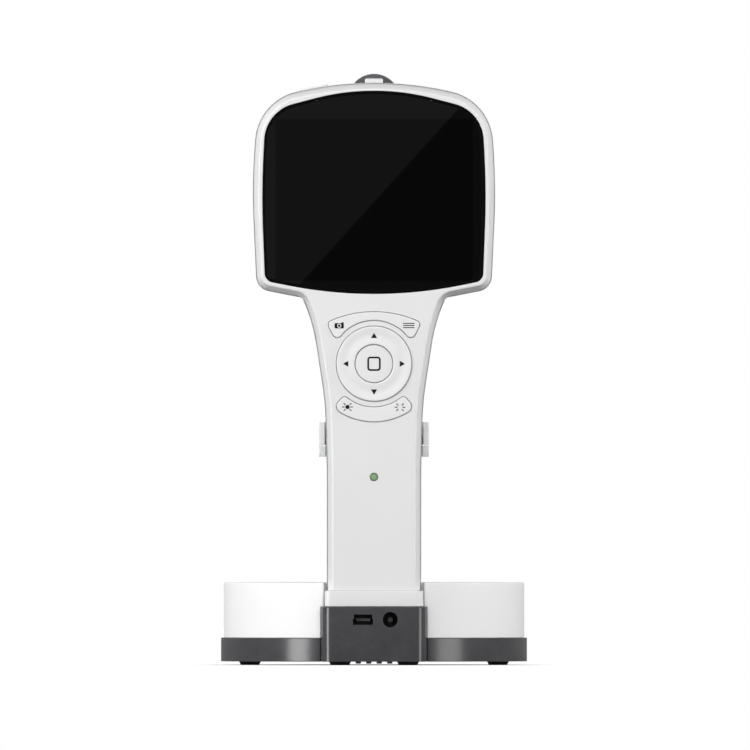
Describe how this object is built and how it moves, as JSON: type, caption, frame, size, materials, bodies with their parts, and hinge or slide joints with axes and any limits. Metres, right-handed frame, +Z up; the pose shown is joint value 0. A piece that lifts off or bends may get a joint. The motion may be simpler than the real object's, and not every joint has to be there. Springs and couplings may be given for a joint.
{
  "type": "handheld autorefractor",
  "caption": "Handheld autorefractor with a screen, navigation keys, trigger and forehead rest, standing upright on a round charging dock.",
  "frame": {"origin": "middle of the footprint, on the surface the dock stands on", "axes": "+Z up, -Y the operator's side with the screen and the sockets, +Y the patient's side, +X the operator's right"},
  "size_m": [0.1224, 0.132, 0.2362],
  "materials": {
    "dock_base_tray": "fine satin",
    "dock_feet": "matt",
    "dock_top_cover": "satin white",
    "dock_tower": "fine satin",
    "ballast_plate": "zinc plated",
    "dock_board": "solder mask",
    "data_socket": "plated shell",
    "power_socket": "moulded",
    "contact_carrier": "moulded",
    "dock_screws": "zinc plated",
    "contact_pins": "gold plated",
    "front_cover": "satin white",
    "head_rear_shell": "satin white",
    "grip_rear_shell": "satin white",
    "foot_collar": "satin white",
    "foot_contacts": "gold plated",
    "finger_rest": "satin",
    "display_gasket": "matt",
    "display_glass": "gloss, tinted black",
    "lcd_panel": "panel",
    "lcd_bracket": "pressed",
    "main_board": "solder mask",
    "key_board": "solder mask",
    "status_lamp": "translucent",
    "battery_pack": "shrink sleeve",
    "battery_holder": "moulded",
    "shell_screws": "zinc plated",
    "trigger_spring": "drawn wire",
    "trigger_switch": "moulded",
    "nose_bezel": "satin",
    "measuring_window": "coated",
    "ring_light_board": "solder mask",
    "optical_bench": "machined",
    "objective_lens": "coated",
    "lens_barrel": "black anodised",
    "beam_splitter": "coated",
    "camera_module": "moulded",
    "infrared_source": "machined",
    "guide_rods": "ground",
    "stepper_motor": "drawn can",
    "forehead_rail": "satin white",
    "nav_rocker": "moulded",
    "nav_ring": "satin white",
    "ok_key": "satin white",
    "capture_menu_key": "satin white",
    "light_key": "satin white",
    "power_key": "satin white",
    "trigger": "satin white",
    "focus_carriage": "machined",
    "lead_screw": "rolled",
    "forehead_arm": "satin white",
    "forehead_pad": "soft, matt",
    "key_print": "pad printing ink"
  },
  "bodies": {
    "dock": {"dock_base_tray": "dock_base_tray", "dock_feet": "dock_feet", "dock_top_cover": "dock_top_cover", "dock_tower": "dock_tower", "ballast_plate": "ballast_plate", "dock_board": "dock_board", "data_socket": "data_socket", "power_socket": "power_socket", "contact_carrier": "contact_carrier", "dock_screws": "dock_screws"},
    "contact_pins": {"contact_pins": "contact_pins"},
    "handset": {"front_cover": "front_cover", "head_rear_shell": "head_rear_shell", "grip_rear_shell": "grip_rear_shell", "foot_collar": "foot_collar", "foot_contacts": "foot_contacts", "finger_rest": "finger_rest", "display_gasket": "display_gasket", "display_glass": "display_glass", "lcd_panel": "lcd_panel", "lcd_bracket": "lcd_bracket", "main_board": "main_board", "key_board": "key_board", "status_lamp": "status_lamp", "battery_pack": "battery_pack", "battery_holder": "battery_holder", "shell_screws": "shell_screws", "trigger_spring": "trigger_spring", "trigger_switch": "trigger_switch", "nose_bezel": "nose_bezel", "measuring_window": "measuring_window", "ring_light_board": "ring_light_board", "optical_bench": "optical_bench", "objective_lens": "objective_lens", "lens_barrel": "lens_barrel", "beam_splitter": "beam_splitter", "camera_module": "camera_module", "infrared_source": "infrared_source", "guide_rods": "guide_rods", "stepper_motor": "stepper_motor", "forehead_rail": "forehead_rail"},
    "nav_rocker": {"nav_rocker": "nav_rocker"},
    "nav_ring": {"nav_ring": "nav_ring"},
    "ok_key": {"ok_key": "ok_key"},
    "capture_menu_key": {"capture_menu_key": "capture_menu_key"},
    "light_key": {"light_key": "light_key"},
    "power_key": {"power_key": "power_key"},
    "trigger": {"trigger": "trigger"},
    "focus_carriage": {"focus_carriage": "focus_carriage"},
    "lead_screw": {"lead_screw": "lead_screw"},
    "forehead_rest": {"forehead_arm": "forehead_arm", "forehead_pad": "forehead_pad"}
  },
  "joints": [
    {"name": "handset_lift", "type": "slide", "parent": "dock", "child": "handset", "axis": [0, 0, 1], "range_m": [0, 0.045]},
    {"name": "contact_pins_press", "type": "slide", "parent": "dock", "child": "contact_pins", "axis": [0, 0, -1], "range_m": [0, 0.0008], "stiffness_N_per_m": 600},
    {"name": "nav_up_down", "type": "hinge", "parent": "handset", "child": "nav_rocker", "pos_m": [0, -0.06, 0.1206], "axis": [1, 0, 0], "range_deg": [-1.4, 1.4], "stiffness_Nm_per_rad": 0.6},
    {"name": "nav_left_right", "type": "hinge", "parent": "nav_rocker", "child": "nav_ring", "pos_m": [0, -0.06, 0.1206], "axis": [0, 0, 1], "range_deg": [-1.4, 1.4], "stiffness_Nm_per_rad": 0.6},
    {"name": "ok_press", "type": "slide", "parent": "handset", "child": "ok_key", "axis": [0, 1, 0], "range_m": [0, 0.0006], "stiffness_N_per_m": 900},
    {"name": "capture_menu_rock", "type": "hinge", "parent": "handset", "child": "capture_menu_key", "pos_m": [0, -0.0607, 0.1386], "axis": [0, 0, 1], "range_deg": [-1.5, 1.5], "stiffness_Nm_per_rad": 0.6},
    {"name": "light_rock", "type": "hinge", "parent": "handset", "child": "light_key", "pos_m": [0, -0.0607, 0.1026], "axis": [0, 0, 1], "range_deg": [-1.5, 1.5], "stiffness_Nm_per_rad": 0.6},
    {"name": "power_press", "type": "slide", "parent": "handset", "child": "power_key", "axis": [0.1719, 0, -0.9851], "range_m": [0, 0.0005], "stiffness_N_per_m": 900},
    {"name": "trigger_pull", "type": "slide", "parent": "handset", "child": "trigger", "axis": [0, -1, 0], "range_m": [0, 0.003], "stiffness_N_per_m": 500, "deforming": ["trigger_spring"]},
    {"name": "forehead_extend", "type": "slide", "parent": "handset", "child": "forehead_rest", "axis": [0, 1, 0], "range_m": [0, 0.015]},
    {"name": "focus_drive", "type": "hinge", "parent": "handset", "child": "lead_screw", "pos_m": [0, -0.004, 0.1759], "axis": [0, 1, 0], "range_deg": [-1080, 1080]},
    {"name": "focus_travel", "type": "slide", "parent": "handset", "child": "focus_carriage", "axis": [0, 1, 0], "range_m": [-0.006, 0.006]}
  ],
  "couplings": [
    {"joint": "focus_drive", "follows": "focus_travel", "rad_per_m": 3141.6}
  ]
}
